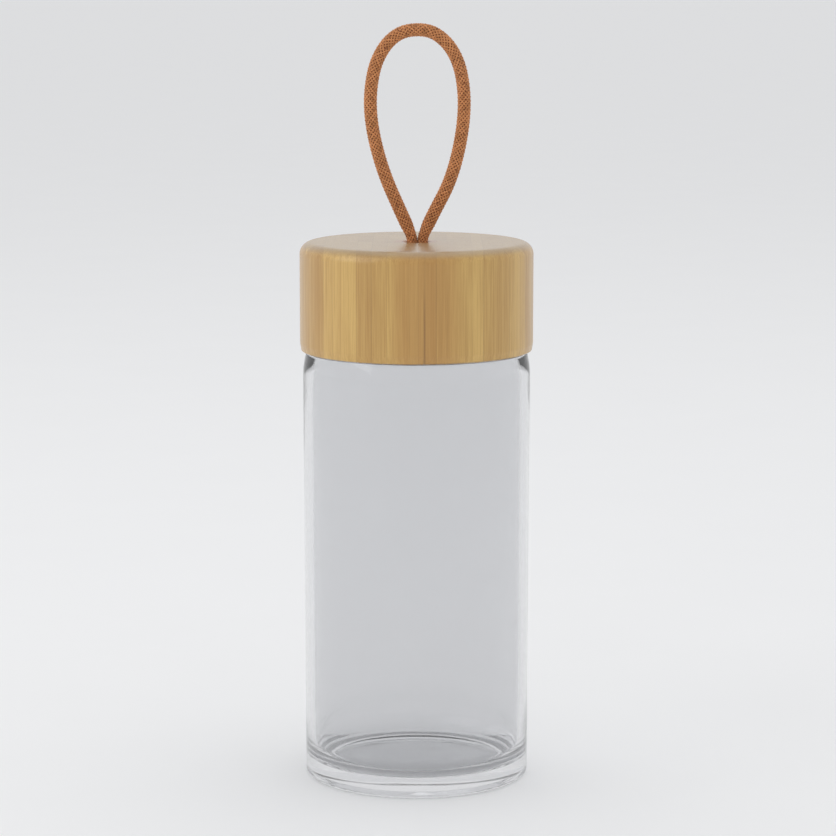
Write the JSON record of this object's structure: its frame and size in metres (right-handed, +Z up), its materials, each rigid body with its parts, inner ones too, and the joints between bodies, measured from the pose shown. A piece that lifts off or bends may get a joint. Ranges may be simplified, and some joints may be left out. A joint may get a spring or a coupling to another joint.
{
  "type": "glass water bottle",
  "caption": "Clear straight-sided glass bottle with a thick base, a screw-on bamboo lid lined with a threaded cup, and a braided cord loop knotted through the lid's top.",
  "frame": {"origin": "middle of the base, on the surface that the bottle stands on", "axes": "+Z up the bottle's axis; the cord loop lies in the XZ plane, and -Y faces the viewer"},
  "size_m": [0.065, 0.065, 0.2112],
  "materials": {
    "glass": "clear, polished",
    "silicone": "translucent white, matt",
    "liner_plastic": "natural white, satin",
    "bamboo": "laminated strips, satin lacquer",
    "steel": "plain, stamped",
    "cord": "braided, caramel brown"
  },
  "bodies": {
    "bottle": {"glass_bottle": "glass"},
    "seal": {"seal_ring": "silicone"},
    "lid": {"bamboo_cap": "bamboo", "screw_liner": "liner_plastic", "knot_washer": "steel", "cord_neck": "cord", "cord_knot": "cord"},
    "loop": {"cord_loop": "cord"}
  },
  "joints": [
    {"name": "lid_rise", "type": "slide", "parent": "bottle", "child": "seal", "axis": [0, 0, 1], "range_m": [0, 0.0255]},
    {"name": "lid_turn", "type": "hinge", "parent": "seal", "child": "lid", "pos_m": [0, 0, 0.12], "axis": [0, 0, 1], "range_deg": [0, 1800]},
    {"name": "loop_lean", "type": "hinge", "parent": "lid", "child": "loop", "pos_m": [0, 0, 0.1532], "axis": [1, 0, 0], "range_deg": [-70, 70], "stiffness_Nm_per_rad": 0.003}
  ],
  "couplings": [
    {"joint": "lid_rise", "follows": "lid_turn", "m_per_rad": 0.00080851}
  ]
}
